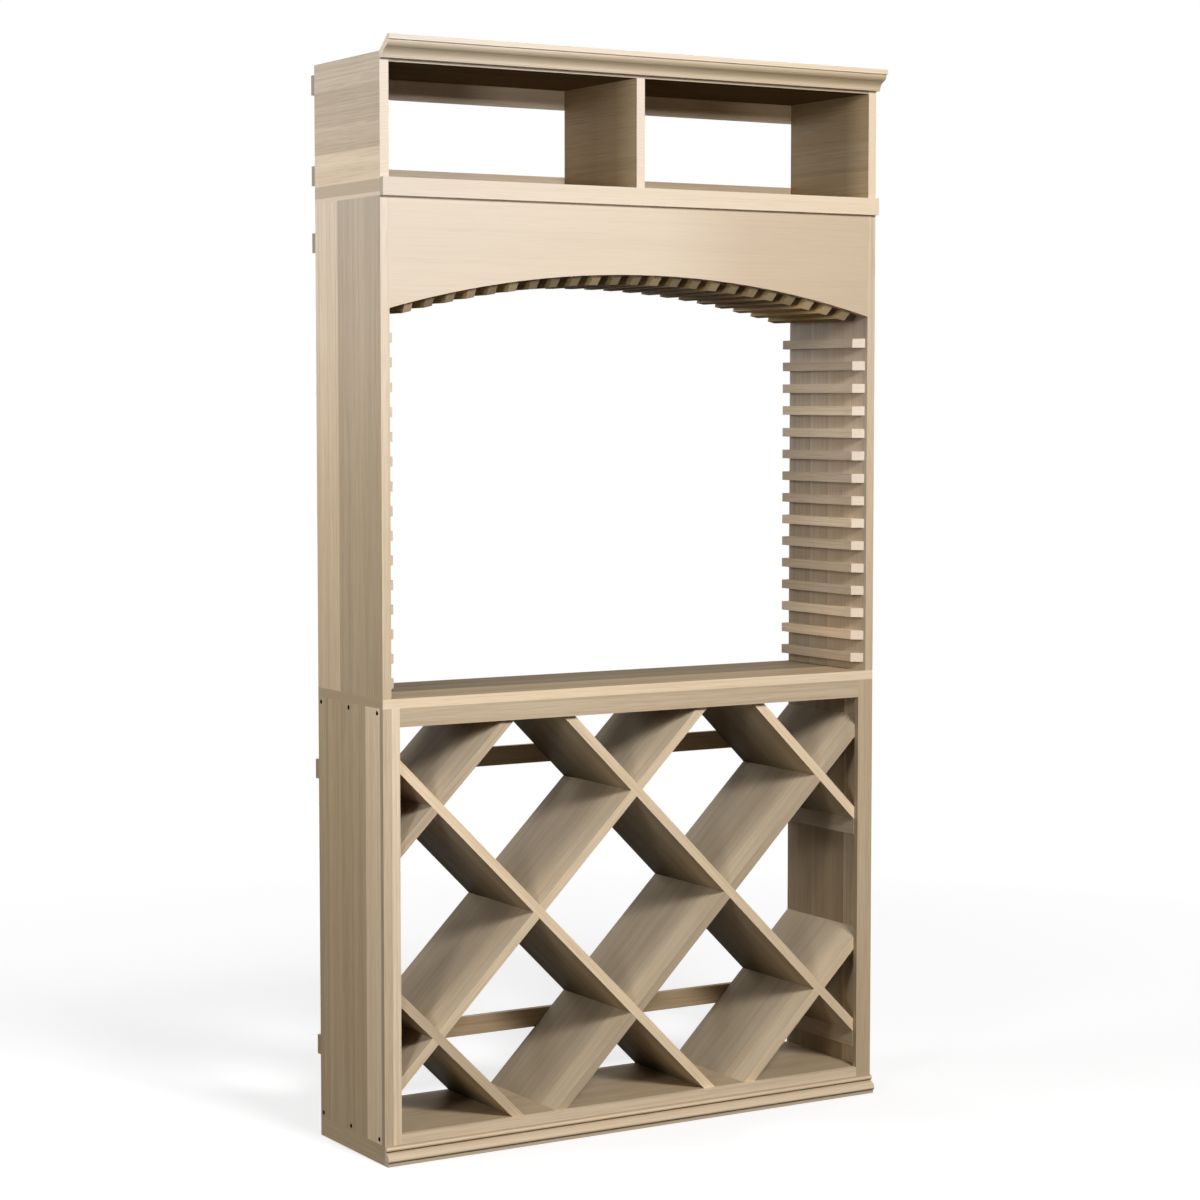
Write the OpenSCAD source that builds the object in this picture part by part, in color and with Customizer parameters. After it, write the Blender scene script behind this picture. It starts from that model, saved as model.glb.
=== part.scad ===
// Wine tasting cabinet. A base unit on a low plinth holds bottles in a half-lapped diamond
// lattice behind a face frame. A counter board lies on it, and two side panels lined with
// short rails carry an arched valance with a slatted barrel ceiling. A case with two open
// bins stands on top under a sprung crown moulding. Five cleats tie the open back together.
// X runs across, Y from front to back, Z up from the floor. Lengths are in millimetres.

/* [Overall] */
// Width over the side panels
cabinet_w = 1172; // [1100:1:1240]
// Depth of the side panels, from the front plane to their rear edges
cabinet_d = 285; // [250:1:340]

/* [Boards] */
// Thickness of the side panels and of the boards between them
board_t = 19; // [16:0.5:22]
// Thickness of the face frame
frame_t = 12.5; // [10:0.5:16]
// Width of the stiles and of the top rail
frame_w = 37; // [30:1:50]

/* [Base unit] */
// Height of the base unit, up to the underside of the counter
base_h = 895.5; // [850:0.5:960]
// Height of the plinth frame that the base unit stands on
plinth_h = 38.5; // [38:0.5:60]
// Thickness of the counter board
counter_t = 19; // [16:0.5:30]

/* [Base moulding] */
// Height of the moulding
foot_h = 38; // [36:0.5:48]
// Radius of the bead along its top edge
foot_bead_r = 5.75; // [4:0.25:6]
// Distance from the front plane to the bead's centre
foot_bead_out = 1.7; // [1:0.1:3]
// Radius of the large quarter round below the bead
foot_round_r = 13; // [11:0.5:14]
// Distance from the front plane to the quarter round's centre
foot_round_out = 3.5; // [2.5:0.5:5]
// Radius of the nose under the quarter round
foot_nose_r = 5; // [3:0.5:6]
// Height of the flat strip on the ground
foot_plinth_h = 4.5; // [3:0.5:6]
// How far the flat strip stands out
foot_plinth_out = 12.2; // [9:0.2:14]

/* [Diamond lattice] */
// Distance from the outer columns of crossings to the side panels
lattice_side_gap = 107; // [90:1:125]
// Clearance on each side of a half-lap slot
lap_gap = 0.1; // [0.05:0.05:0.3]
// Thickness of the bevelled rests under the ends of the lattice boards
rest_t = 19; // [14:0.5:24]
// Height of the face of a rest
rest_h = 34; // [28:1:45]

/* [Hutch] */
// Height of the hutch from the counter to the top of its cover board
hutch_h = 974; // [900:1:1050]
// Thickness of the cover board
cover_t = 8; // [6:0.5:12]
// Height of the valance at the crown of the arch
valance_h = 138.5; // [110:0.5:170]
// Rise of the arch from the side panels to its crown
arch_rise = 75; // [50:1:95]

/* [Rails and slats] */
// Thickness and height of a rail or slat
rail_t = 19; // [15:0.5:22]
// Spacing of the wall rails
rail_pitch = 47.8; // [40:0.1:60]
// Height of the centre of the lowest wall rail above the counter
rail_first = 27.5; // [20:0.5:40]
// Distance from the front plane to the long point of the mitred ends
rail_setback = 8.5; // [4:0.5:20]
// Spacing of the ceiling slats along the arch
slat_pitch = 47.8; // [40:0.1:60]
// Clearance between a flat slat and the curved edge that it is fixed to
slat_seat = 0.05; // [0.03:0.01:0.2]

/* [Top case] */
// Height of the top case, floor board included
case_h = 264.5; // [230:0.5:320]
// Thickness of its floor board
case_floor_t = 23.5; // [18:0.5:28]
// Thickness of the trim board across the joint under the case
trim_t = 12.5; // [9:0.5:16]
// How far the trim board stands above the case floor
trim_lip = 3.5; // [1:0.5:8]

/* [Crown moulding] */
// Height of the crown moulding
crown_h = 42; // [40:0.5:50]
// How far the crown stands out from the front plane
crown_out = 41.5; // [39:0.5:50]
// How far the crown reaches down over the edge of the case
crown_lap = 13.5; // [10:0.5:16]
// Height of the flat band along the top
crown_band_h = 10; // [7:0.5:11]
// Set-back below the flat band
crown_band_step = 5.5; // [3:0.5:6]
// Radius of the convex curve below the band
crown_round_r = 13.8; // [12:0.1:14]
// Radius of the hollow curve at the bottom
crown_hollow_r = 19.3; // [18:0.1:22]
// How far the bottom edge stands out
crown_foot_out = 13; // [11:0.5:14]

/* [Rear cleats] */
// Thickness of the cleats
cleat_t = 14; // [10:0.5:19]
// Height of the cleats
cleat_w = 39; // [30:1:50]
// Height of the lowest cleat above the bin floor
cleat_base_low = 108; // [60:1:200]
// Distance from the second cleat's top down from the counter
cleat_base_high = 127.5; // [100:0.5:200]
// Distance from the hutch cleat's top down from the cover board
cleat_hutch = 58; // [20:1:90]
// Height of the fourth cleat above the case floor
cleat_case_low = 4; // [0:0.5:20]

/* [Screws] */
// Diameter of the counterbores in the side panels
bore_d = 9.6; // [8:0.2:12]
// Depth of the counterbores, which leave the screw heads just below the face
bore_deep = 2.9; // [2.8:0.1:5]
// Distance from the edges of a side panel to its outer screws
screw_inset = 12; // [9:0.5:25]
// Diameter of a screw's shank
shank_d = 4.2; // [3.4:0.1:5]
// Length of the side screws below the head
side_screw_len = 38; // [30:1:60]
// Length of the cleat screws below the head
cleat_screw_len = 34; // [25:1:50]
// Depth of the recess for a cleat screw's head
recess_deep = 3; // [2.8:0.1:5]
// Clearance around a screw
screw_gap = 0.1; // [0.05:0.05:0.3]

/* [Hidden] */

// Half widths and the front plane; the origin lies under the middle of the whole box
half_w = cabinet_w / 2;
inner_x = half_w - board_t;
stile_x = half_w - frame_w;
overall_d = crown_out + cabinet_d + cleat_t;
front_y = crown_out - overall_d / 2;

// Levels from the ground up
floor_h = plinth_h + board_t;
base_inner_top = base_h - board_t;
counter_top = base_h + counter_t;
cover_under = counter_top + hutch_h - cover_t;
hutch_top = counter_top + hutch_h;
case_floor = hutch_top + case_floor_t;
case_top = hutch_top + case_h;
crown_z = case_top - crown_lap;

// Lattice, centred in the room of the base unit: the distance between neighbouring rows or
// columns of crossings, the lowest full row, and the depth at which the half laps meet
lattice_pitch = (inner_x - lattice_side_gap) / 2;
lattice_z = (floor_h + base_inner_top) / 2 - lattice_pitch;
lattice_mid = (frame_t + cabinet_d) / 2;
lattice_long = cabinet_w + base_h;
diagonal_half_t = board_t / sqrt(2);

// Arch: radius and centre from its span and rise
arch_crown = cover_under - valance_h;
arch_spring = arch_crown - arch_rise;
arch_r = (inner_x * inner_x + arch_rise * arch_rise) / (2 * arch_rise);
arch_centre_z = arch_crown - arch_r;

// Counts that follow from the room
slat_room = arch_r * asin(inner_x / arch_r) * PI / 180 - 1.5 * rail_t;
slats_each_side = floor(slat_room / slat_pitch);
rail_room = arch_spring - rail_t - counter_top - rail_first - rail_t / 2;
rail_count = 1 + floor(rail_room / rail_pitch);

// Bottom levels of the five cleats
cleat_levels = [
    floor_h + cleat_base_low,
    base_h - cleat_base_high - cleat_w,
    cover_under - cleat_hutch - cleat_w,
    case_floor + cleat_case_low,
    case_top - board_t - cleat_w
];

// Screw places on a side panel, and the sizes of a screw's head
side_screw_y = [frame_t + screw_inset, (frame_t + cabinet_d) / 2, cabinet_d - screw_inset];
side_screw_z = [floor_h - board_t / 2, base_h - board_t / 2];
side_head_d = bore_d - 4 * screw_gap;
side_head_h = 2.6;
cleat_head_d = 7.6;
cleat_head_h = 2.6;
screw_tip = 5;

// Angles at which the crown's hollow curve ends and its convex curve starts
crown_hollow_end = 118;
crown_round_start = -76;

// Angles at which the nose of the base moulding starts and ends
foot_nose_start = -15;
foot_nose_end = -80;

// Steps in each moulded curve, and how far a cut runs past a face
curve_steps = 8;
cut_over = 1;

light_wood = "#EBDCC6";
pale_wood = "#DFCDB4";
shaded_wood = "#C9B69A";
dark_wood = "#B09B7E";
screw_black = "#201D1A";

// A board between two X, two Y and two Z values; Y is measured from the front plane
module board(x, y, z) {
    translate([x[0], front_y + y[0], z[0]])
        cube([x[1] - x[0], y[1] - y[0], z[1] - z[0]]);
}

// The same piece on the right-hand side
module on_right() {
    mirror([1, 0, 0])
        children();
}

// A profile drawn outwards from the front plane, run along the whole width
module along_front(z) {
    translate([-half_w, front_y, z])
        rotate([90, 0, 90])
            linear_extrude(cabinet_w)
                mirror([1, 0])
                    children();
}

// Points of an arc about a centre, from one angle to another
function arc(centre, r, a0, a1) = [
    for (i = [0 : curve_steps])
        let (a = a0 + (a1 - a0) * i / curve_steps)
            centre + r * [cos(a), sin(a)]
];

// A screw along +Z with the underside of its head at the origin
module screw(head_d, head_h, length) {
    rotate_extrude($fn = 32)
        polygon([
            [0, -head_h],
            [head_d / 2, -head_h],
            [head_d / 2, 0],
            [shank_d / 2, 0],
            [shank_d / 2, length - screw_tip],
            [0, length]
        ]);
}

// The hole for a screw: a wide recess for the head, then a bore that takes the shank
module screw_hole(wide_d, deep, length) {
    translate([0, 0, -cut_over])
        cylinder(d = wide_d, h = deep + cut_over, $fn = 32);
    cylinder(d = shank_d + 2 * screw_gap, h = deep + length + cut_over, $fn = 24);
}

// Places of the screws in the outer face of the left side panel, +Z running inwards
module at_side_screws() {
    for (y = side_screw_y, z = side_screw_z)
        translate([-half_w, front_y + y, z])
            rotate([0, 90, 0])
                children();
}

module side_screw_holes() {
    at_side_screws()
        screw_hole(bore_d, bore_deep, side_screw_len);
}

// Places of the two screws in each cleat's back face, +Z running forwards
module at_cleat_screws() {
    for (x = [-1, 1] * (half_w - board_t / 2), z = cleat_levels)
        translate([x, front_y + cabinet_d + cleat_t, z + cleat_w / 2])
            rotate([90, 0, 0])
                children();
}

module cleat_screw_holes() {
    at_cleat_screws()
        screw_hole(cleat_head_d + 2 * screw_gap, recess_deep, cleat_screw_len);
}

// Plinth and base unit

module plinth_side() {
    color(shaded_wood)
        board([-half_w, -inner_x], [0, cabinet_d], [0, plinth_h]);
}

// The plinth's front or back board
module plinth_cross(y) {
    color(dark_wood)
        board([-inner_x, inner_x], [y, y + board_t], [0, plinth_h]);
}

module base_side() {
    color(shaded_wood)
        difference() {
            board([-half_w, -inner_x], [frame_t, cabinet_d], [plinth_h, base_h]);
            side_screw_holes();
            cleat_screw_holes();
        }
}

// A board between the base side panels, drilled at both ends
module base_cross_board(z) {
    color(pale_wood)
        difference() {
            board([-inner_x, inner_x], [frame_t, cabinet_d], [z, z + board_t]);
            side_screw_holes();
            on_right() side_screw_holes();
        }
}

module stile() {
    color(pale_wood)
        board([-half_w, -stile_x], [0, frame_t], [plinth_h, base_h]);
}

module top_rail() {
    color(shaded_wood)
        board([-stile_x, stile_x], [0, frame_t], [base_h - frame_w, base_h]);
}

module bottom_rail() {
    color(pale_wood)
        board([-stile_x, stile_x], [0, frame_t], [plinth_h, floor_h]);
}

// Bead on top, quarter round with a nose, and a flat strip on the ground
module base_moulding() {
    bead = [foot_bead_out, foot_h - foot_bead_r];
    round_top = foot_h - 2 * foot_bead_r - 1.5;
    quarter = [foot_round_out, round_top - foot_round_r];
    nose = quarter + [foot_round_r - foot_nose_r, 0];
    color(pale_wood)
        along_front(0)
            polygon(concat(
                [[0, 0], [0, foot_h]],
                arc(bead, foot_bead_r, 90, -90),
                arc(quarter, foot_round_r, 90, 0),
                arc(nose, foot_nose_r, foot_nose_start, foot_nose_end),
                [[foot_plinth_out, foot_plinth_h], [foot_plinth_out, 0]]
            ));
}

module counter_board() {
    color(light_wood)
        board([-half_w, half_w], [0, cabinet_d], [base_h, counter_top]);
}

// Diamond lattice. Boards that fall to the right have slope 1, those that rise have -1.
// A board's number is the count of double pitches by which its line is raised.

// Where falling board f crosses rising board r
function crossing(f, r) = [(f - r) * lattice_pitch, lattice_z + (f + r) * lattice_pitch];

// The room between floor, top board and side panels
module bin_room() {
    board([-inner_x, inner_x], [frame_t, cabinet_d], [floor_h, base_inner_top]);
}

// An endless diagonal board
module diagonal(slope, number) {
    translate([0, front_y + frame_t, lattice_z + 2 * number * lattice_pitch])
        rotate([0, 45 * slope, 0])
            translate([-lattice_long, 0, -board_t / 2])
                cube([2 * lattice_long, cabinet_d - frame_t, board_t]);
}

// The slot that a crossing board of this slope needs, between two depths
module lap_slot(at, slope, y0, y1) {
    slot_w = board_t + 2 * lap_gap;
    translate([at[0], front_y + y0, at[1]])
        rotate([0, 45 * slope, 0])
            translate([-board_t, 0, -slot_w / 2])
                cube([2 * board_t, y1 - y0, slot_w]);
}

// Falling boards run unbroken at the front and are slotted from behind
module lattice_down(number) {
    color(light_wood)
        difference() {
            intersection() {
                bin_room();
                diagonal(1, number);
            }
            for (r = [-1 : 2])
                lap_slot(crossing(number, r), -1, lattice_mid - lap_gap, cabinet_d + cut_over);
        }
}

// Rising boards are slotted from the front
module lattice_up(number) {
    color(pale_wood)
        difference() {
            intersection() {
                bin_room();
                diagonal(-1, number);
            }
            for (f = [-1 : 2])
                lap_slot(crossing(f, number), 1, frame_t - cut_over, lattice_mid + lap_gap);
        }
}

// Strip on the right-hand panel, bevelled to the underside of a falling board
module lattice_rest(number) {
    wall_z = lattice_z + 2 * number * lattice_pitch - inner_x - diagonal_half_t;
    foot_z = wall_z + rest_t - rest_h;
    color(dark_wood)
        intersection() {
            bin_room();
            translate([0, front_y + cabinet_d, 0])
                rotate([90, 0, 0])
                    linear_extrude(cabinet_d - frame_t)
                        polygon([
                            [inner_x, wall_z],
                            [inner_x - rest_t, wall_z + rest_t],
                            [inner_x - rest_t, foot_z],
                            [inner_x, foot_z]
                        ]);
        }
}

module side_screws() {
    color(screw_black)
        at_side_screws()
            translate([0, 0, bore_deep])
                screw(side_head_d, side_head_h, side_screw_len);
}

// Hutch

module hutch_side() {
    color(shaded_wood)
        difference() {
            board([-half_w, -inner_x], [0, cabinet_d], [counter_top, cover_under]);
            cleat_screw_holes();
        }
}

module hutch_cover_board() {
    color(light_wood)
        board([-half_w, half_w], [0, cabinet_d], [cover_under, hutch_top]);
}

// A bar from front to back that hangs under the plane Z = 0, its front end mitred so that
// the face that is seen is the shorter one
module rail_bar() {
    translate([-rail_t / 2, front_y, 0])
        rotate([90, 0, 90])
            linear_extrude(rail_t)
                polygon([
                    [rail_setback, 0],
                    [cabinet_d, 0],
                    [cabinet_d, -rail_t],
                    [rail_setback + rail_t, -rail_t]
                ]);
}

module wall_rails() {
    color(pale_wood)
        for (i = [0 : rail_count - 1])
            translate([-inner_x, 0, counter_top + rail_first + i * rail_pitch])
                rotate([0, -90, 0])
                    rail_bar();
}

// A board across the hutch whose lower edge is the arch
module arch_board(y) {
    difference() {
        board([-inner_x, inner_x], y, [arch_spring - cut_over, cover_under]);
        translate([0, front_y + y[1] + cut_over, arch_centre_z])
            rotate([90, 0, 0])
                cylinder(r = arch_r, h = y[1] - y[0] + 2 * cut_over, $fn = 240);
    }
}

module valance() {
    color(light_wood)
        arch_board([0, board_t]);
}

module rear_arch_board() {
    color(shaded_wood)
        arch_board([cabinet_d - board_t, cabinet_d]);
}

// Slats side by side under the two arched edges, each square to the curve
module ceiling_slats() {
    color(dark_wood)
        for (i = [-slats_each_side : slats_each_side])
            translate([0, 0, arch_centre_z])
                rotate([0, i * slat_pitch / arch_r * 180 / PI, 0])
                    translate([0, 0, arch_r - slat_seat])
                        rail_bar();
}

// Top case

module case_floor_board() {
    color(dark_wood)
        board([-half_w, half_w], [0, cabinet_d], [hutch_top, case_floor]);
}

module case_side() {
    color(shaded_wood)
        difference() {
            board([-half_w, -inner_x], [0, cabinet_d], [case_floor, case_top]);
            cleat_screw_holes();
        }
}

module case_divider() {
    color(light_wood)
        board([-board_t / 2, board_t / 2], [0, cabinet_d], [case_floor, case_top - board_t]);
}

module case_top_board() {
    color(pale_wood)
        board([-inner_x, inner_x], [0, cabinet_d], [case_top - board_t, case_top]);
}

module trim_board() {
    color(light_wood)
        board([-half_w, half_w], [-trim_t, 0], [cover_under, case_floor + trim_lip]);
}

// Flat band, convex curve running into a hollow one, and a sloped back that leans forward
module crown_moulding() {
    band_z = crown_h - crown_band_h;
    round_c = [crown_out - crown_band_step - crown_round_r, band_z];
    hollow_c = [crown_foot_out + crown_hollow_r, 0];
    color(light_wood)
        along_front(crown_z)
            polygon(concat(
                [[0, 0]],
                arc(hollow_c, crown_hollow_r, 180, crown_hollow_end),
                arc(round_c, crown_round_r, crown_round_start, 0),
                [
                    [crown_out, band_z + 0.5],
                    [crown_out, crown_h],
                    [crown_out - 7.5, crown_h],
                    [0, crown_lap]
                ]
            ));
}

// Rear cleats

module rear_cleat(number) {
    z = cleat_levels[number - 1];
    color(shaded_wood)
        difference() {
            board([-half_w, half_w], [cabinet_d, cabinet_d + cleat_t], [z, z + cleat_w]);
            cleat_screw_holes();
        }
}

module cleat_screws() {
    color(screw_black)
        at_cleat_screws()
            translate([0, 0, recess_deep])
                screw(cleat_head_d, cleat_head_h, cleat_screw_len);
}

plinth_side();  // plinth_side_left
on_right() plinth_side();  // plinth_side_right
plinth_cross(0);  // plinth_front
plinth_cross(cabinet_d - board_t);  // plinth_back
base_side();  // base_side_left
on_right() base_side();  // base_side_right
base_cross_board(base_inner_top);  // base_top_board
base_cross_board(floor_h - board_t);  // base_floor_board
stile();  // stile_left
on_right() stile();  // stile_right
top_rail();
bottom_rail();
base_moulding();
lattice_down(-1);  // lattice_down_1
lattice_down(0);  // lattice_down_2
lattice_down(1);  // lattice_down_3
lattice_down(2);  // lattice_down_4
lattice_up(-1);  // lattice_up_1
lattice_up(0);  // lattice_up_2
lattice_up(1);  // lattice_up_3
lattice_up(2);  // lattice_up_4
on_right() lattice_rest(1);  // rest_left_low
on_right() lattice_rest(2);  // rest_left_high
lattice_rest(1);  // rest_right_low
lattice_rest(2);  // rest_right_high
side_screws();  // side_screws_left
on_right() side_screws();  // side_screws_right
counter_board();
hutch_side();  // hutch_side_left
on_right() hutch_side();  // hutch_side_right
hutch_cover_board();
wall_rails();  // wall_rails_left
on_right() wall_rails();  // wall_rails_right
valance();
rear_arch_board();
ceiling_slats();
case_floor_board();
case_side();  // case_side_left
on_right() case_side();  // case_side_right
case_divider();
case_top_board();
trim_board();
crown_moulding();
rear_cleat(1);  // rear_cleat_1
rear_cleat(2);  // rear_cleat_2
rear_cleat(3);  // rear_cleat_3
rear_cleat(4);  // rear_cleat_4
rear_cleat(5);  // rear_cleat_5
cleat_screws();
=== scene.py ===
import bpy
import math
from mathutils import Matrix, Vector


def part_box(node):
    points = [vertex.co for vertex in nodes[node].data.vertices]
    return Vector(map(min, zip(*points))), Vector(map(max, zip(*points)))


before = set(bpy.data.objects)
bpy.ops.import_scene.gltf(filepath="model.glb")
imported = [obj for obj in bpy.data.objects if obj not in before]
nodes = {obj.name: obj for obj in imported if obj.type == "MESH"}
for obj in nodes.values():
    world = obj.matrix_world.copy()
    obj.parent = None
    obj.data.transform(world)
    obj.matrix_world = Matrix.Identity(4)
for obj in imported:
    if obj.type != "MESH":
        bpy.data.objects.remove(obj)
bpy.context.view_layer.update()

print("frame loaded,", len(nodes), "pieces")


# node tree helpers

def plug(tree, socket, value):
    if isinstance(value, bpy.types.NodeSocket):
        tree.links.new(value, socket)
    else:
        socket.default_value = value


def plugAll(tree, sockets, values):
    for socket, value in zip(sockets, values):
        plug(tree, socket, value)


def calc(tree, job, a, b=0.0, c=0.0):
    step = tree.nodes.new("ShaderNodeMath")
    step.operation = job
    plugAll(tree, step.inputs, (a, b, c))
    return step.outputs[0]


def distance(tree, a, b):
    return calc(tree, "SQRT", calc(tree, "ADD", calc(tree, "POWER", a, 2), calc(tree, "POWER", b, 2)))


def fit(tree, value, low, high, newLow, newHigh):
    step = tree.nodes.new("ShaderNodeMapRange")
    plugAll(tree, step.inputs, (value, low, high, newLow, newHigh))
    return step.outputs[0]


def blend(tree, amount, first, second, kind="MIX"):
    step = tree.nodes.new("ShaderNodeMix")
    step.data_type = "RGBA"
    step.blend_type = kind
    plugAll(tree, (step.inputs[0], step.inputs[6], step.inputs[7]), (amount, first, second))
    return step.outputs[2]


def times(tree, colour, tone):
    return blend(tree, 1.0, colour, tone, "MULTIPLY")


def joinXYZ(tree, x, y, z):
    step = tree.nodes.new("ShaderNodeCombineXYZ")
    plugAll(tree, step.inputs, (x, y, z))
    return step.outputs[0]


def splitXYZ(tree, vector):
    step = tree.nodes.new("ShaderNodeSeparateXYZ")
    plug(tree, step.inputs[0], vector)
    return list(step.outputs)


def noiseAt(tree, spot, detail, rough=0.5, scale=1.0):
    step = tree.nodes.new("ShaderNodeTexNoise")
    step.inputs["Scale"].default_value = scale
    step.inputs["Detail"].default_value = detail
    step.inputs["Roughness"].default_value = rough
    plug(tree, step.inputs["Vector"], spot)
    return step.outputs["Fac"]


def rgb(tone):
    return (*tone, 1) if isinstance(tone, tuple) else (tone, tone, tone, 1)


def halfSteps(tree, value, stops, kind="CONSTANT"):
    # tones at half height, so that those over 1 fit in the ramp: each stop is (from, tone)
    ramp = tree.nodes.new("ShaderNodeValToRGB")
    ramp.color_ramp.interpolation = kind
    marks = ramp.color_ramp.elements
    while len(marks) < len(stops):
        marks.new(0.5)
    for mark, (start, tone) in zip(marks, stops):
        mark.position = start
        mark.color = [part / 2 for part in rgb(tone)]
    plug(tree, ramp.inputs[0], value)
    return ramp.outputs[0]


def toneOf(tree, spot, tone):
    # one tone, or a run of tones along an axis: ("z", (height, tone), (height, tone))
    if not isinstance(tone, tuple) or not isinstance(tone[0], str):
        return rgb(tone)
    axis, *run = tone
    low, high = run[0][0], run[-1][0]
    share = fit(tree, spot["xyz".index(axis)], low, high, 0, 1)
    half = halfSteps(tree, share, [((at - low) / (high - low), part) for at, part in run], "LINEAR")
    return times(tree, half, rgb(2.0))


# wood

wood = {
    "pale": (0.719, 0.611, 0.491, 1),      # earlywood
    "tan": (0.523, 0.412, 0.298, 1),       # latewood
    "grey": (0.601, 0.506, 0.387, 1),      # cooler patches
    # streaks: width in metres, noise cells in that width and in a metre along the grain, the
    # noise from which they show and are full, and how strong they are then
    "patches": {"width": 1.0, "cells": 3.5, "along": 0.5, "detail": 1, "rough": 0.5, "shift": 12.9,
                "from": 0.35, "full": 0.65, "mix": 0.42},
    "bands": {"width": 0.016, "cells": 0.55, "along": 0.9, "detail": 3, "rough": 0.55, "shift": 1.7,
              "from": 0.40, "full": 0.68, "mix": 0.42},
    "lines": {"width": 0.0030, "cells": 0.6, "along": 1.3, "detail": 2, "rough": 0.6, "shift": 4.1,
              "from": 0.50, "full": 0.66, "mix": 0.50},
    "fibres": {"width": 0.0013, "cells": 0.7, "along": 14, "detail": 1, "rough": 0.5, "shift": 8.3,
               "from": 0.50, "full": 0.66, "mix": 0.50},
    "boardShift": 3.71,                    # how far apart in the figure the boards,
    "staveShift": 91.7,                    # the staves by their tone
    "rowShift": 5.33,                      # and the loose strips are cut
    "honey": (1.0, 0.918, 0.77),           # the tint of the warmer boards
    "warmDown": 0.20,                      # painted warmth where the light is weaker: the tint grows towards the floor, per metre
    "coolFrom": 1.25,                      # height over which the painted warmth fades to a paler, painted lit tone,
    "coolUp": 0.83,                        # per metre,
    "coolRight": 0.95,                     # and less so to the right
    "rowSpread": (0.84, 1.66),             # darkest and palest of the loose strips
    "rowLean": 2,                          # over 1, most strips come out dark
    "cutFigure": 0.35,                     # how much figure a mitred end shows
    "mitreTurn": (0.707, 0.09),            # slope of a mitred end and how far it may be off
    "wornTone": 1.05,                      # rubbed edges
    "softEdge": 0.0008,                    # width of the eased edges, metres
    "edgeAngle": 35,                       # eased from this angle on
    "gloss": 0.14,
    "roughness": 0.52,
    "sheen": {"fibres": (-0.04, 0.06), "bands": (-0.05, 0.05)},
    "noiseSpan": (0.3, 0.7),               # where most of a noise lies
    "coatRoughness": 0.30,
    "coatTurn": (-0.25, 0.05),             # the coat is left off the faces that look down, which keeps its reflection off them
    "bump": 0.00022,
    "bumpStrength": 0.5,
    "bumpShares": {"fibres": 0.6, "lines": 0.4},
}

endGrain = {
    "tone": 0.86,                          # it takes the finish darker
    "rings": 520,                          # noise cells per metre from the pith
    "pithDepth": 0.24,
    "pithStep": 0.013,                     # the pith moves sideways from board to board,
    "pithReach": 0.08,                     # this far at most
    "ringTurn": (0.4, 0.65),
    "ringMix": (0.25, 0.7),
    "turn": (0.80, 0.97),                  # slopes between which a face becomes end grain
}

# faces by the way they turn to the light, for painted light and shade: axis, direction, and the slopes
# where their tone starts and is full
faceTurns = {
    "front": ("y", -1.0, 0.70, 0.80),
    "flank": ("x", 1.0, 0.70, 0.80),       # to either side
    "inner": ("x", -1.0, 0.70, 0.80),      # to the middle of the cabinet
    "top": ("z", 1.0, 0.20, 0.80),
    "under": ("z", -1.0, 0.70, 0.80),
    "hollow": ("z", -1.0, 0.10, 0.60),     # of a moulding, for painted shade in its hollows
}

woodCount = 0


def boardPlace(tree, grain, wide, tilt):
    # where a point lies along, across and through its board, and how it faces
    place = tree.nodes.new("ShaderNodeTexCoord")
    turned = []
    for kind, source in (("POINT", "Object"), ("NORMAL", "Normal")):
        level = tree.nodes.new("ShaderNodeMapping")
        level.vector_type = kind
        level.inputs["Rotation"].default_value = (0, math.radians(tilt), 0)
        tree.links.new(place.outputs[source], level.inputs["Vector"])
        turned.append(dict(zip("xyz", splitXYZ(tree, level.outputs[0]))))
    axes, slopes = turned
    deep = ({"x", "y", "z"} - {grain, wide}).pop()
    return {"along": axes[grain], "across": axes[wide], "through": axes[deep], "slopes": slopes,
            "endwise": calc(tree, "ABSOLUTE", slopes[grain]),
            "spot": splitXYZ(tree, place.outputs["Object"])}


def streaks(tree, board, shift, look):
    perMetre = look["cells"] / look["width"]
    where = joinXYZ(tree, calc(tree, "MULTIPLY_ADD", board["along"], look["along"], shift),
                    calc(tree, "MULTIPLY_ADD", board["across"], perMetre, look["shift"]),
                    calc(tree, "MULTIPLY", board["through"], perMetre))
    return noiseAt(tree, where, look["detail"], look["rough"])


def endGrainColour(tree, board, tone):
    # rings about a pith below the board
    aside = calc(tree, "ADD", board["across"], endGrain["pithStep"] * woodCount % endGrain["pithReach"])
    below = calc(tree, "ADD", board["through"], endGrain["pithDepth"])
    outwards = calc(tree, "MULTIPLY", distance(tree, aside, below), endGrain["rings"])
    rings = noiseAt(tree, joinXYZ(tree, outwards, 0.0, 0.0), 1)
    latewood = fit(tree, rings, *endGrain["ringTurn"], *endGrain["ringMix"])
    return times(tree, blend(tree, latewood, wood["pale"], wood["tan"]), rgb(tone))


def faceShare(tree, board, face):
    # 1 on the faces that look the named way, 0 on the others
    axis, way, start, full = faceTurns[face]
    slope = board["slopes"][axis]
    if face == "flank":
        slope = calc(tree, "ABSOLUTE", slope)
    if face == "inner":
        slope = calc(tree, "MULTIPLY", slope, calc(tree, "SIGN", board["spot"][0]))
    return fit(tree, calc(tree, "MULTIPLY", slope, way), start, full, 0, 1)


# the board's own honey tint, with a painted warm cast where the light is weaker: warmer low down, paler
# high up, less so to the right
def honeyTint(tree, spot, honey, strength):
    lift = calc(tree, "MAXIMUM", calc(tree, "SUBTRACT", spot[2], wood["coolFrom"]), 0.0)
    pull = calc(tree, "MULTIPLY_ADD", spot[0], wood["coolRight"], -wood["coolUp"])
    warm = calc(tree, "MULTIPLY_ADD", lift, pull, honey + wood["warmDown"])
    warm = calc(tree, "MULTIPLY_ADD", spot[2], -wood["warmDown"], warm)
    tint = [calc(tree, "MULTIPLY_ADD", warm, strength * (part - 1), strength) for part in wood["honey"]]
    return joinXYZ(tree, *tint)


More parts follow.
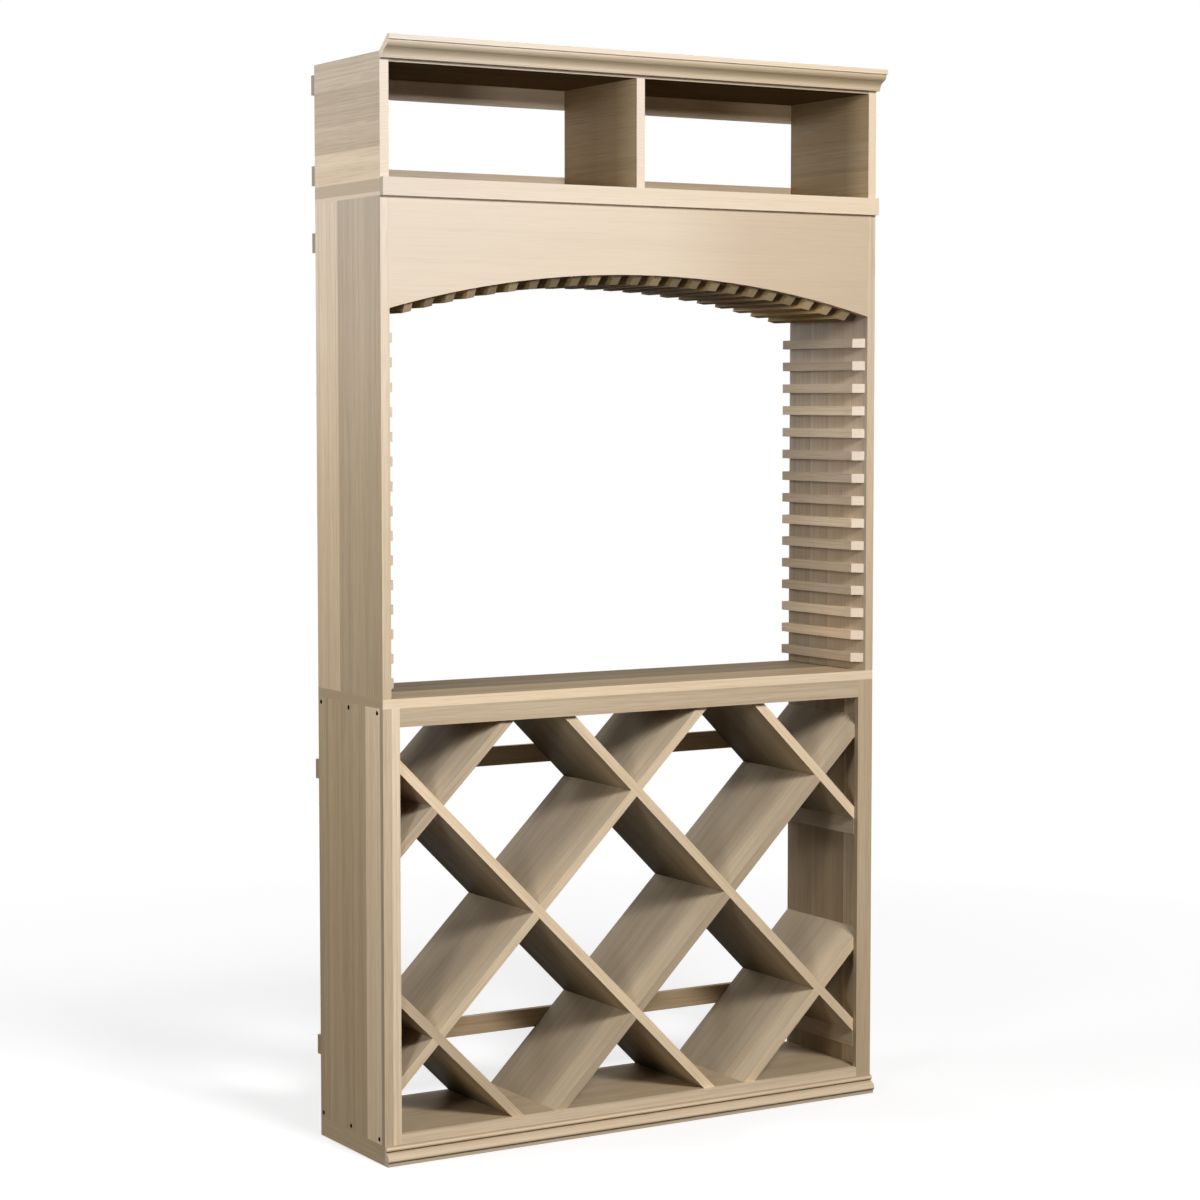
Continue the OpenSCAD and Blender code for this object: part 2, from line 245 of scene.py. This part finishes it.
def clearFinish(tree, shader, board, noises, gloss, coat):
    sheen = [fit(tree, noises[kind], *wood["noiseSpan"], *change) for kind, change in wood["sheen"].items()]
    roughness = calc(tree, "ADD", calc(tree, "ADD", *sheen), wood["roughness"])
    tree.links.new(roughness, shader.inputs["Roughness"])
    shader.inputs["Specular IOR Level"].default_value = gloss
    if coat:
        weight = fit(tree, board["slopes"]["z"], *wood["coatTurn"], 0, coat)
        tree.links.new(weight, shader.inputs["Coat Weight"])
        shader.inputs["Coat Roughness"].default_value = wood["coatRoughness"]
    relief = tree.nodes.new("ShaderNodeBump")
    relief.inputs["Strength"].default_value = wood["bumpStrength"]
    relief.inputs["Distance"].default_value = wood["bump"]
    height = calc(tree, "MULTIPLY", noises["lines"], wood["bumpShares"]["lines"])
    height = calc(tree, "MULTIPLY_ADD", noises["fibres"], wood["bumpShares"]["fibres"], height)
    tree.links.new(height, relief.inputs["Height"])
    tree.links.new(relief.outputs[0], shader.inputs["Normal"])


# How a board's wood is told. grain: the axis along the fibres. wide: the axis across its face.
# tilt turns a lattice board level first. honey: how warm it is; honeyTint adds a painted warm cast
# where the light is weaker. faces: tones of the faces in faceTurns, painted light and shade by the
# way a face turns, and of mitred ends ("mitre"). drift: a tone over all of it, on most boards a
# painted gradient of light and shade along an axis. ends: tone of its end grain. staves: glued-up
# strips as (start, width, stops), each stop a distance across the board and a tone. rows: a
# function that numbers loose strips, which get their tones by lot. ends45: the darkest and palest
# of their mitred ends. coat: a clear coat over the finish, left off the faces that look down.
# worn: for rubbed edges. A tone is one number, or red, green and blue. In faces and drift it may
# also be a run along an axis, as in toneOf.

def woodFinish(name, grain, wide, tone, honey, faces={}, ends=endGrain["tone"], contrast=1.0,
               gloss=wood["gloss"], staves=None, tilt=0.0, rows=None, ends45=(0.96, 1.04), drift=1.0,
               coat=0.0, worn=False):
    global woodCount
    woodCount += 1
    mat = bpy.data.materials.new(name)
    mat.use_nodes = True
    tree = mat.node_tree
    shader = tree.nodes["Principled BSDF"]
    board = boardPlace(tree, grain, wide, tilt)
    spot = board["spot"]
    shift = woodCount * wood["boardShift"]
    local, cutLocal = rgb(1.0), rgb(1.0)

    # glued staves, and loose strips, start their figure afresh and differ in tone
    if staves:
        start, width, stops = staves
        share = calc(tree, "DIVIDE", calc(tree, "SUBTRACT", board["across"], start), width)
        half = halfSteps(tree, share, [(at / width, stave) for at, stave in stops])
        shift = calc(tree, "MULTIPLY_ADD", half, wood["staveShift"], shift)
        local = times(tree, half, rgb(2.0))
    if rows:
        number = rows(tree, spot)
        lottery = tree.nodes.new("ShaderNodeTexWhiteNoise")
        lottery.noise_dimensions = "1D"
        tree.links.new(number, lottery.inputs["W"])
        draw = calc(tree, "POWER", lottery.outputs["Value"], wood["rowLean"])
        local = fit(tree, draw, 0, 1, *wood["rowSpread"])
        cutLocal = fit(tree, draw, 0, 1, *ends45)
        shift = calc(tree, "MULTIPLY_ADD", number, wood["rowShift"], shift)

    noises = {kind: streaks(tree, board, shift, wood[kind])
              for kind in ("patches", "bands", "lines", "fibres")}
    plain = wood["pale"]
    for kind, noise in noises.items():
        look = wood[kind]
        amount = fit(tree, noise, look["from"], look["full"], 0, look["mix"] * contrast)
        plain = blend(tree, amount, plain, wood["grey" if kind == "patches" else "tan"])

    colour = times(tree, plain, local)
    endShare = fit(tree, board["endwise"], *endGrain["turn"], 0, 1)
    colour = blend(tree, endShare, colour, endGrainColour(tree, board, ends))
    # face tones: painted light and shade by the way each face turns; mitred ends take the cut figure and
    # their tone
    for face, faceTone in faces.items():
        if face == "mitre":
            share = calc(tree, "COMPARE", board["endwise"], *wood["mitreTurn"])
            cut = blend(tree, wood["cutFigure"], wood["pale"], plain)
            colour = blend(tree, share, colour, times(tree, cut, cutLocal))
        else:
            share = faceShare(tree, board, face)
        colour = blend(tree, share, colour, toneOf(tree, spot, faceTone), "MULTIPLY")
    # drift: on most boards a painted gradient of light and shade along an axis
    colour = times(tree, colour, toneOf(tree, spot, drift))
    strength = tone * wood["wornTone"] if worn else tone
    colour = times(tree, colour, honeyTint(tree, spot, honey, strength))
    tree.links.new(colour, shader.inputs["Base Color"])
    clearFinish(tree, shader, board, noises, gloss, coat)
    return mat


def dress(nodeName, grain, wide, box=None, softEdge=wood["softEdge"], **look):
    # box: the extent of the board, for its staves to lie across
    if "staves" in look:
        low, high = [getattr(corner, wide) for corner in box]
        look["staves"] = (low, high - low, look["staves"])
    # the board's face finish in the first slot, its eased and rubbed edges in the second
    piece = nodes[nodeName]
    piece.data.materials.clear()
    piece.data.materials.append(woodFinish(nodeName + "_wood", grain, wide, **look))
    piece.data.materials.append(woodFinish(nodeName + "_edge", grain, wide, worn=True, **look))
    ease = piece.modifiers.new("easedEdges", "BEVEL")
    ease.width = softEdge
    ease.segments = 2
    ease.limit_method = "ANGLE"
    ease.angle_limit = math.radians(wood["edgeAngle"])
    ease.material = 1
    ease.harden_normals = False


# plinth and base unit

plinthLook = {
    "sides": {"tone": 0.85, "honey": 1.23},
    "boards": {"tone": 0.88, "honey": 0.60},
}

baseSideLook = {
    "tone": 0.92,
    "honey": 1.23,
    # painted shade on the inner face, and painted light a little stronger towards the floor
    "faces": {"inner": 0.70},
    "drift": ("z", (0.08, 1.03), (0.85, 0.96)),
    "staves": [(0.0, (1.47, 1.54, 1.70)), (0.0625, 0.877), (0.118, 0.83), (0.170, 0.907), (0.228, 0.83)],
}

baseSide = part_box("base_side_left")
frontPlane = baseSide[0].y


def inDepth(*run):
    # a run of tones from the front plane back: (depth, tone), (depth, tone)
    return ("y", *[(frontPlane + at, tone) for at, tone in run])


for side in ("left", "right"):
    dress("plinth_side_" + side, "y", "z", **plinthLook["sides"])
    dress("base_side_" + side, "z", "y", box=baseSide, **baseSideLook)
for name in ("plinth_front", "plinth_back"):
    dress(name, "x", "z", **plinthLook["boards"])

baseBoardLook = {
    # painted shade on the top board's underside
    "top": {"tone": 0.80, "honey": 0.60, "gloss": 0.05, "faces": {"under": 0.6}},
    "floor": {"tone": 0.81, "honey": 0.95, "gloss": 0.05},
}
for name in ("top", "floor"):
    dress("base_%s_board" % name, "x", "y", **baseBoardLook[name])

stileLook = {
    # painted shade on both stiles' side faces
    "left": {"tone": 1.03, "honey": 0.60, "faces": {"flank": 0.70},
             "staves": [(0.0, (0.92, 0.905, 0.875)), (0.0187, (1.24, 1.26, 1.29))]},
    "right": {"tone": 1.03, "honey": 0.90, "faces": {"flank": 0.70},
              "staves": [(0.0, 0.89), (0.0136, 0.865)]},
}
dress("stile_left", "z", "x", box=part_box("stile_left"), **stileLook["left"])
dress("stile_right", "z", "x", box=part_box("stile_right"), **stileLook["right"])

frameRailLook = {
    "top": {"tone": 0.86, "honey": 0.77},
    "bottom": {"tone": 1.23, "honey": 0.43},
}
for name in ("top", "bottom"):
    dress(name + "_rail", "x", "z", **frameRailLook[name])

baseMouldingLook = {
    "softEdge": 0.0003,
    "tone": 1.03,
    "honey": 0.68,
    "contrast": 0.7,
    "gloss": 0.3,
    "coat": 0.6,
    # painted shade in the hollows
    "faces": {"hollow": (0.24, 0.21, 0.16)},
    # upwards: strip, nose, quarter round, bead and the seam over it; painted highlights on the nose, the
    # top of the quarter round and the bead, painted shade on the strip and in the seam
    "drift": ("z", (0.0, 0.88), (0.011, 0.90), (0.0135, 1.24), (0.0165, 1.20), (0.019, 1.0),
              (0.0225, 1.0), (0.0245, 1.16), (0.028, 1.16), (0.030, 1.20), (0.0348, 1.24),
              (0.0365, 0.80), (0.038, 0.66)),
}
dress("base_moulding", "x", "z", **baseMouldingLook)

counterLook = {
    "tone": 0.72,
    "honey": 1.15,
    "gloss": 0.01,
    "ends": (1.13, 1.14, 1.18),
    # painted light: the front edge far paler than the top, and the top paler towards the right
    "faces": {"front": (1.80, 1.89, 2.13), "top": ("x", (-0.55, 1.0), (0.45, 1.15))},
    "staves": [(0.0, 1.01), (0.122, 0.565), (0.20, 0.49)],
}
dress("counter_board", "x", "y", box=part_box("counter_board"), **counterLook)
print("base unit dressed")


# diamond lattice

latticeLook = {
    "board": {"tone": 0.78, "honey": 0.72, "gloss": 0.01, "contrast": 0.8},
    # top: tone of the top faces. fade: painted light at the front of each board, falling off to painted
    # shade at the back. under: painted shade on the undersides, deepening towards the back
    "top": (0.96, 1.0, 1.04),
    "fade": ((0.045, 1.48), (0.08, 1.11), (0.12, 0.93), (0.185, 0.90), (0.285, (0.82, 0.83, 0.86))),
    "down": {
        "tilt": -45,
        "fronts": (1.22, 1.69, 1.54, 1.66),        # of the four boards
        "under": ((0.05, (0.72, 0.73, 0.72)), (0.10, (0.64, 0.67, 0.65)), (0.145, (0.50, 0.51, 0.48)),
                  (0.22, (0.29, 0.28, 0.25)), (0.285, (0.18, 0.165, 0.135))),
    },
    "up": {
        "tilt": 45,
        "fronts": (1.40, 0.98, 1.40, 1.03),
        "under": ((0.05, 0.56), (0.285, 0.56)),
    },
}

fadeStart = latticeLook["fade"][0][1]
for number in range(1, 5):
    for kind in ("down", "up"):
        own = latticeLook[kind]
        tones = {"front": own["fronts"][number - 1] / fadeStart, "top": latticeLook["top"],
                 "under": inDepth(*own["under"])}
        dress("lattice_%s_%d" % (kind, number), "x", "y", tilt=own["tilt"], faces=tones,
              drift=inDepth(*latticeLook["fade"]), **latticeLook["board"])

restLook = {"tone": 0.76, "honey": 0.72}
for name in ("rest_left_low", "rest_left_high", "rest_right_low", "rest_right_high"):
    dress(name, "y", "z", **restLook)
print("lattice dressed")


# hutch

# painted light and shade on the hutch's inner faces: darker low down, lighter higher up, and painted shade
# under the arch at the top
hutchInnerShading = ("z", (0.95, 0.90), (1.25, 0.98), (1.36, (1.08, 1.10, 1.16)), (1.58, (1.1, 1.13, 1.2)),
              (1.66, (0.76, 0.76, 0.78)))
hutchSideLook = {
    "left": {
        "tone": 0.84,
        "honey": 1.08,
        # painted light on the front edge, and more painted light higher up
        "faces": {"front": (1.31, 1.362, 1.467), "inner": hutchInnerShading},
        "drift": ("z", (0.95, 0.95), (1.30, 0.98), (1.60, 1.07)),
        "staves": [(0.0, 0.955), (0.055, 0.983), (0.092, 1.02), (0.128, 0.93), (0.1845, 1.34)],
    },
    "right": {
        "tone": 0.84,
        "honey": 0.72,
        "faces": {"front": (1.02, 1.01, 0.98), "inner": hutchInnerShading},
        # painted shade deepening towards the back of the hutch
        "staves": [(0.0, 1.08), (0.028, 1.04), (0.070, 1.06), (0.140, 0.92), (0.205, 0.77), (0.245, 0.71)],
    },
}

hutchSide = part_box("hutch_side_left")
for side in ("left", "right"):
    dress("hutch_side_" + side, "z", "y", box=hutchSide, **hutchSideLook[side])

wallRailLook = {
    "softEdge": 0.0005,
    "tone": 0.865,
    "honey": 0.77,
    "faces": {"mitre": (1.139, 1.197, 1.344)},
    # painted light at the front, deepening to painted shade at the back
    "drift": inDepth((0.03, 1.22), (0.075, 1.20), (0.125, 1.08), (0.176, 0.96), (0.227, 0.85),
                     (0.285, 0.79)),
}
railRows = {
    "count": 15,
    "draw": 628,        # which strips come out pale
    "foot": 0.3,        # a row starts this share of the pitch below its strip
}

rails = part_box("wall_rails_left")
railPitch = (rails[1].z - rails[0].z - (rails[1].x - rails[0].x)) / (railRows["count"] - 1)


def railNumber(tree, at):
    height = calc(tree, "SUBTRACT", at[2], rails[0].z - railPitch * railRows["foot"])
    number = calc(tree, "FLOOR", calc(tree, "DIVIDE", height, railPitch))
    return calc(tree, "ADD", number, railRows["draw"])


for side in ("left", "right"):
    dress("wall_rails_" + side, "y", "z", rows=railNumber, **wallRailLook)

slatLook = {
    "softEdge": 0.0005,
    "tone": 0.58,
    "honey": 1.7,
    "gloss": 0.004,
    "faces": {
        "mitre": (1.09, 1.07, 1.03),
        # painted shade on the undersides, deepest towards the left; on the flanks painted light at the
        # front and at the rear ends, painted shade between
        "under": ("x", (0.33, (0.15, 0.11, 0.04)), (0.43, (0.44, 0.37, 0.25)),
                  (0.52, (0.60, 0.53, 0.30))),
        "flank": inDepth((0.03, (1.30, 1.25, 1.05)), (0.08, (1.20, 1.13, 0.92)),
                         (0.12, (0.92, 0.85, 0.66)), (0.20, (0.80, 0.74, 0.58)),
                         (0.285, (1.40, 1.50, 1.70))),
    },
    "ends45": (0.64, 1.22),
}
slatRows = {
    "count": 23,
    "draw": 38128,
    "middle": 40,       # the number of the middle slat
}

# the ceiling's curve, from the reach and rise of its outermost slats
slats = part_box("ceiling_slats")
arch = {"rise": 0.075, "halfSpan": 0.567}
archRadius = (arch["halfSpan"] ** 2 + arch["rise"] ** 2) / (2 * arch["rise"])
archCentre = slats[1].z - archRadius
slatStep = 2 * math.asin(slats[1].x / archRadius) / slatRows["count"]


def slatNumber(tree, at):
    turn = calc(tree, "ARCTAN2", at[0], calc(tree, "SUBTRACT", at[2], archCentre))
    turn = calc(tree, "ADD", turn, slatStep * (slatRows["middle"] + 0.5))
    number = calc(tree, "FLOOR", calc(tree, "DIVIDE", turn, slatStep))
    return calc(tree, "ADD", number, slatRows["draw"])


dress("ceiling_slats", "y", "x", rows=slatNumber, **slatLook)

archBoardLook = {
    "valance": {"tone": 0.965, "honey": 0.84, "contrast": 0.24,
                "drift": ("x", (0.05, 1.0), (0.27, (0.865, 0.833, 0.81)))},
    "rear_arch_board": {"tone": 0.74, "honey": 1.1},
}
for name in ("valance", "rear_arch_board"):
    dress(name, "x", "z", **archBoardLook[name])

coverBoardLook = {"tone": 1.0, "honey": 1.0, "ends": 1.19}
dress("hutch_cover_board", "x", "y", **coverBoardLook)
print("hutch dressed")


# top case and crown

# painted shade on the case's inner faces, deepening towards the back
caseInnerShade = inDepth((0.0, (0.94, 0.90, 0.79)), (0.015, (0.88, 0.84, 0.73)), (0.035, (0.74, 0.70, 0.61)),
                    (0.054, (0.61, 0.58, 0.49)), (0.07, (0.49, 0.46, 0.36)),
                    (0.15, (0.42, 0.38, 0.30)), (0.285, (0.38, 0.34, 0.26)))
caseSideLook = {
    "left": {
        "tone": 0.90,
        "honey": 1.52,
        "ends": (1.23, 1.295, 1.42),
        "faces": {"inner": caseInnerShade},
        "staves": [(0.0, 1.34), (0.0617, 1.01), (0.118, 0.96), (0.185, 1.02)],
    },
    "right": {
        "tone": 0.90,
        "honey": 1.52,
        "ends": (1.30, 1.38, 1.56),
        "faces": {"inner": caseInnerShade},
        "staves": [(0.0, 1.02), (0.0617, 0.90), (0.118, 0.96), (0.185, 0.965)],
    },
}

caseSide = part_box("case_side_left")
for side in ("left", "right"):
    dress("case_side_" + side, "y", "z", box=caseSide, **caseSideLook[side])

caseBoardLook = {
    "floor": {"tone": 0.90, "honey": 1.45, "ends": 0.98},
    "divider": {
        "tone": 0.84,
        "honey": 1.05,
        "gloss": 0.05,
        "ends": (1.36, 1.41, 1.53),
        # painted light at the front of the divider's faces, deepening to painted shade at the back
        "faces": {"flank": inDepth((0.0, (1.30, 1.20, 0.97)), (0.03, (1.00, 0.91, 0.70)),
                                   (0.07, (0.66, 0.56, 0.40)), (0.15, (0.46, 0.38, 0.26)),
                                   (0.285, (0.40, 0.32, 0.21)))},
    },
    # painted shade on the top board's underside, and a little on its front edge
    "top": {"tone": 0.80, "honey": 1.2, "gloss": 0.0, "faces": {"front": 0.9, "under": (0.27, 0.23, 0.16)}},
}
dress("case_floor_board", "x", "y", **caseBoardLook["floor"])
dress("case_divider", "y", "z", **caseBoardLook["divider"])
dress("case_top_board", "x", "y", **caseBoardLook["top"])

trimLook = {
    "tone": 1.0,
    "honey": 0.88,
    "contrast": 0.34,
    "gloss": 0.2,
    # painted shade at the left and painted light at the right, evening out the lamps' fall-off
    "drift": ("x", (-0.58, 0.93), (0.58, 1.09)),
}
dress("trim_board", "x", "z", **trimLook)

crownLook = {
    "softEdge": 0.0003,
    "tone": 1.02,
    "honey": 0.98,
    "contrast": 0.5,
    "gloss": 0.3,
    "ends": (1.22, 1.17, 1.08),
    # painted shade in the hollows
    "faces": {"hollow": (0.76, 0.735, 0.65)},
    "drift": ("x", (-0.6, 0.965), (-0.3, 1.0)),
    # not staves here but the crown's foot, its curves and the flat band over them; the foot and the curves
    # darkened by painted shade under the band
    "staves": [(0.0, (0.70, 0.68, 0.64)), (0.003, (0.89, 0.87, 0.83)), (0.032, 1.04)],
}
dress("crown_moulding", "x", "z", box=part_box("crown_moulding"), **crownLook)

cleatLook = {"tone": 0.66, "honey": 1.2}
cleatFaces = {5: {"front": 1.8}}    # the one in the case gets painted light on its front face
for number in range(1, 6):
    dress("rear_cleat_%d" % number, "x", "z", faces=cleatFaces.get(number, {}), **cleatLook)
print("top case dressed")


# screws

screwLook = {
    "black": (0.004, 0.004, 0.004, 1),
    "scuffed": (0.012, 0.011, 0.010, 1),
    "grit": 900,
    "scuffs": (0.55, 0.75),
    "roughness": (0.3, 0.85),
    "gloss": 0.01,
}


def blackOxide(name):
    mat = bpy.data.materials.new(name)
    mat.use_nodes = True
    tree = mat.node_tree
    shader = tree.nodes["Principled BSDF"]
    place = tree.nodes.new("ShaderNodeTexCoord")
    fine = noiseAt(tree, place.outputs["Object"], 3, scale=screwLook["grit"])
    scuffs = fit(tree, fine, *screwLook["scuffs"], 0, 1)
    colour = blend(tree, scuffs, screwLook["black"], screwLook["scuffed"])
    tree.links.new(colour, shader.inputs["Base Color"])
    dull = fit(tree, fine, *wood["noiseSpan"], *screwLook["roughness"])
    tree.links.new(dull, shader.inputs["Roughness"])
    shader.inputs["Specular IOR Level"].default_value = screwLook["gloss"]
    return mat


screwFinish = blackOxide("black_oxide")
for name in ("side_screws_left", "side_screws_right", "cleat_screws"):
    nodes[name].data.materials.clear()
    nodes[name].data.materials.append(screwFinish)
print("screws dressed")


# studio

studio = {
    "lamps": {
        "key": {"at": (-0.2, -3.4, 2.8), "aim": (0.0, 0.0, 1.2), "size": 0.8, "power": 130},
        "frontLeft": {"at": (-3.2, -2.2, 1.75), "aim": (0.0, 0.0, 1.3), "size": 0.5, "power": 26.4},
        "left": {"at": (-2.4, 0.5, 2.2), "aim": (-0.5, 0.0, 1.5), "size": 1.0, "power": 24.9},
        "right": {"at": (3.2, 0.9, 1.8), "aim": (0.5, 0.0, 1.0), "size": 1.2, "power": 15.4},
        "rear": {"at": (-0.2, 3.6, 2.2), "aim": (0.0, 0.0, 1.1), "size": 1.4, "power": 28.6},
    },
    "camera": {"at": (-3.09546, -5.06985, 1.49291), "pitch": 86.0084, "yaw": -31.2614,
               "lens": 86.386, "sensor": 36, "clipEnd": 60},
    "roomLight": 0.066,
    "white": (1, 1, 1, 1),
}


def softLamp(name, look):
    lamp = bpy.data.lights.new(name, "AREA")
    lamp.shape = "SQUARE"
    lamp.size = look["size"]
    lamp.energy = look["power"]
    holder = bpy.data.objects.new(name, lamp)
    bpy.context.scene.collection.objects.link(holder)
    holder.location = look["at"]
    holder.visible_camera = False
    aim = [b - a for a, b in zip(look["at"], look["aim"])]
    flat = math.hypot(aim[0], aim[1])
    holder.rotation_euler = (math.pi / 2 + math.atan2(aim[2], flat), 0, math.atan2(-aim[0], aim[1]))


def photoCamera(look):
    eye = bpy.data.cameras.new("photoView")
    eye.lens = look["lens"]
    eye.sensor_width = look["sensor"]
    eye.sensor_fit = "HORIZONTAL"
    eye.clip_end = look["clipEnd"]
    holder = bpy.data.objects.new("photoView", eye)
    holder.location = look["at"]
    holder.rotation_euler = (math.radians(look["pitch"]), 0, math.radians(look["yaw"]))
    bpy.context.scene.collection.objects.link(holder)
    return holder


def seenDirectly(tree):
    # 1 for what the camera sees, also in a reflection, and 0 for what only lights the cabinet
    path = tree.nodes.new("ShaderNodeLightPath")
    seen = calc(tree, "MAXIMUM", path.outputs["Is Camera Ray"], path.outputs["Is Glossy Ray"])
    return calc(tree, "MAXIMUM", seen, path.outputs["Is Transmission Ray"])


def paleRoom():
    # white to look at, dim as a light
    room = bpy.data.worlds.new("paleRoom")
    room.use_nodes = True
    tree = room.node_tree
    backdrop = tree.nodes["Background"]
    backdrop.inputs["Color"].default_value = studio["white"]
    strength = fit(tree, seenDirectly(tree), 0, 1, studio["roomLight"], 1.0)
    tree.links.new(strength, backdrop.inputs["Strength"])
    return room


for name, look in studio["lamps"].items():
    softLamp(name + "Lamp", look)
bpy.context.scene.camera = photoCamera(studio["camera"])
bpy.context.scene.world = paleRoom()

# the floor keeps the shadow and fades into the white around it
floorLook = {
    "size": 14.0,
    "drop": 0.0005,                         # under the cabinet, metres
    "seen": (0.545, 0.545, 0.545, 1),       # its tone to the camera
    "mottled": (0.57, 0.57, 0.566, 1),
    "mottle": 0.3,
    "bounce": (0.091, 0.0864, 0.082, 1),    # its tone as a light on the cabinet
    "glow": 0.60,
    "fade": (1.2, 3.2),                     # from the middle of the floor, metres
    "roughness": 0.9,
    "gloss": 0.1,
}


def palePaper():
    paper = bpy.data.materials.new("palePaper")
    paper.use_nodes = True
    tree = paper.node_tree
    shader = tree.nodes["Principled BSDF"]
    shader.inputs["Roughness"].default_value = floorLook["roughness"]
    shader.inputs["Specular IOR Level"].default_value = floorLook["gloss"]
    place = tree.nodes.new("ShaderNodeTexCoord").outputs["Object"]
    direct = seenDirectly(tree)
    mottle = fit(tree, noiseAt(tree, place, 3), *wood["noiseSpan"], 0, floorLook["mottle"])
    sheet = blend(tree, mottle, floorLook["seen"], floorLook["mottled"])
    tree.links.new(blend(tree, direct, floorLook["bounce"], sheet), shader.inputs["Base Color"])
    shader.inputs["Emission Color"].default_value = studio["white"]
    tree.links.new(calc(tree, "MULTIPLY", direct, floorLook["glow"]), shader.inputs["Emission Strength"])

    x, y = splitXYZ(tree, place)[:2]
    away = fit(tree, distance(tree, x, y), *floorLook["fade"], 0.0, 1.0)
    glow = tree.nodes.new("ShaderNodeEmission")
    glow.inputs["Color"].default_value = studio["white"]
    mixed = tree.nodes.new("ShaderNodeMixShader")
    plugAll(tree, mixed.inputs, (calc(tree, "MULTIPLY", direct, away), shader.outputs[0], glow.outputs[0]))
    tree.links.new(mixed.outputs[0], tree.nodes["Material Output"].inputs["Surface"])
    return paper


half = floorLook["size"] / 2
sheet = bpy.data.meshes.new("floor")
corners = [(-half, -half, 0), (half, -half, 0), (half, half, 0), (-half, half, 0)]
sheet.from_pydata(corners, [], [(0, 1, 2, 3)])
sheet.materials.append(palePaper())
floor = bpy.data.objects.new("floor", sheet)
floor.location.z = -floorLook["drop"]
bpy.context.scene.collection.objects.link(floor)

bpy.context.scene.view_settings.view_transform = "Standard"
print("studio ready")
